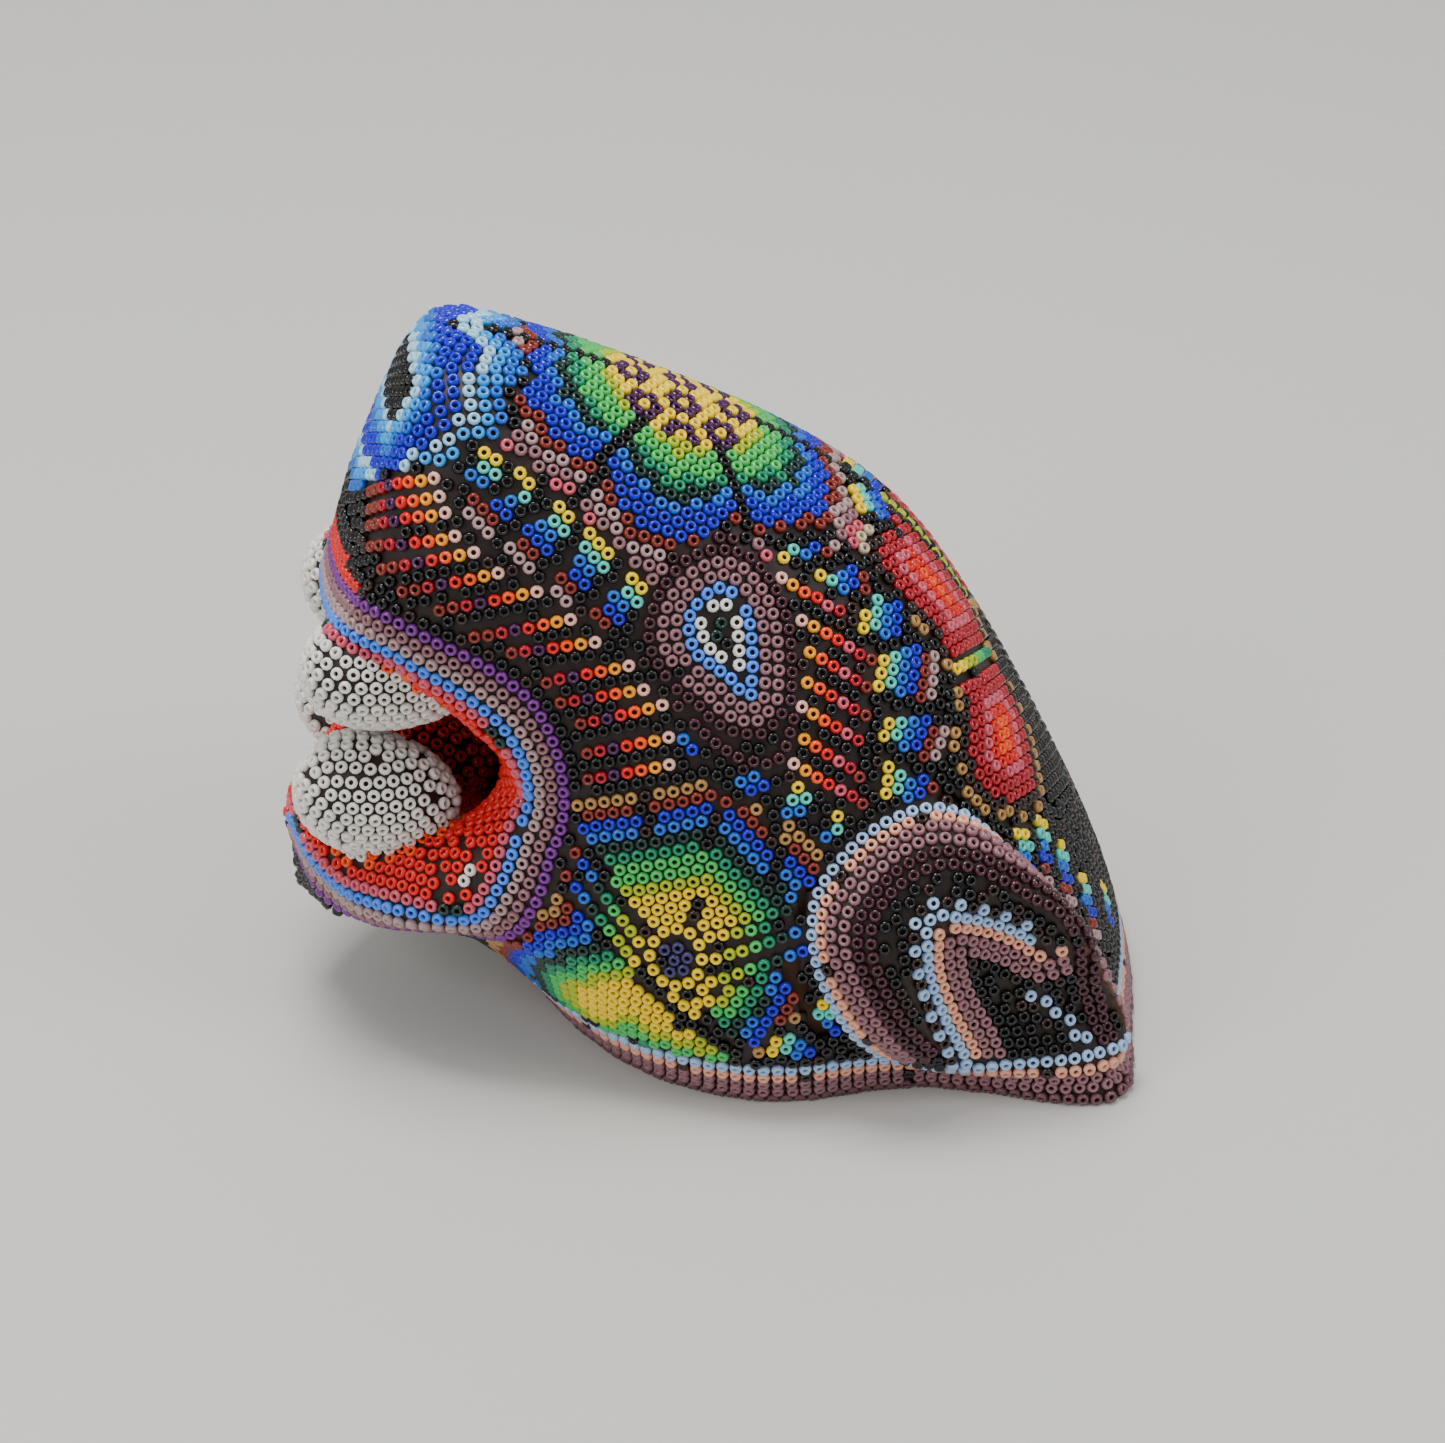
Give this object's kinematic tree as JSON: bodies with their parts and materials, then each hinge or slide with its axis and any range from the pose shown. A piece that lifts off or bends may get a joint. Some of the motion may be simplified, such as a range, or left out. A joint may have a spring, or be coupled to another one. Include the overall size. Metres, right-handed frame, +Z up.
{
  "type": "beaded big cat head",
  "caption": "Hollow big-cat head with an open mouth, fangs and folded ears, coated in beeswax and covered with glass seed beads, lying on its flat neck cut.",
  "frame": {"origin": "centre of the bounding box at the flat neck cut, on the surface that the head lies on", "axes": "+Z up from the neck cut, -X towards the muzzle and +X towards the nape, Y across the head with the plane of symmetry at Y = 0"},
  "size_m": [0.141, 0.1066, 0.1178],
  "materials": {
    "carved_wood": "bare",
    "beeswax": "satin",
    "seed_beads": "glossy"
  },
  "bodies": {
    "root": {"head_core": "carved_wood", "wax_coat": "beeswax", "ear_left": "carved_wood", "ear_right": "carved_wood", "tongue": "carved_wood", "upper_fang_left": "carved_wood", "upper_fang_right": "carved_wood", "lower_fang_left": "carved_wood", "lower_fang_right": "carved_wood", "rim_beads": "seed_beads", "nape_beads": "seed_beads", "forehead_beads": "seed_beads", "bridge_flower_beads": "seed_beads", "nose_beads": "seed_beads", "temple_beads_left": "seed_beads", "temple_beads_right": "seed_beads", "eye_beads_left": "seed_beads", "eye_beads_right": "seed_beads", "cheekbone_beads_left": "seed_beads", "cheekbone_beads_right": "seed_beads", "whisker_beads_left": "seed_beads", "whisker_beads_right": "seed_beads", "cheek_flower_beads_left": "seed_beads", "cheek_flower_beads_right": "seed_beads", "chin_beads": "seed_beads", "lip_beads": "seed_beads", "mouth_beads": "seed_beads", "ear_beads_left": "seed_beads", "ear_beads_right": "seed_beads", "tongue_beads": "seed_beads", "upper_fang_beads_left": "seed_beads", "upper_fang_beads_right": "seed_beads", "lower_fang_beads_left": "seed_beads", "lower_fang_beads_right": "seed_beads"}
  },
  "joints": []
}
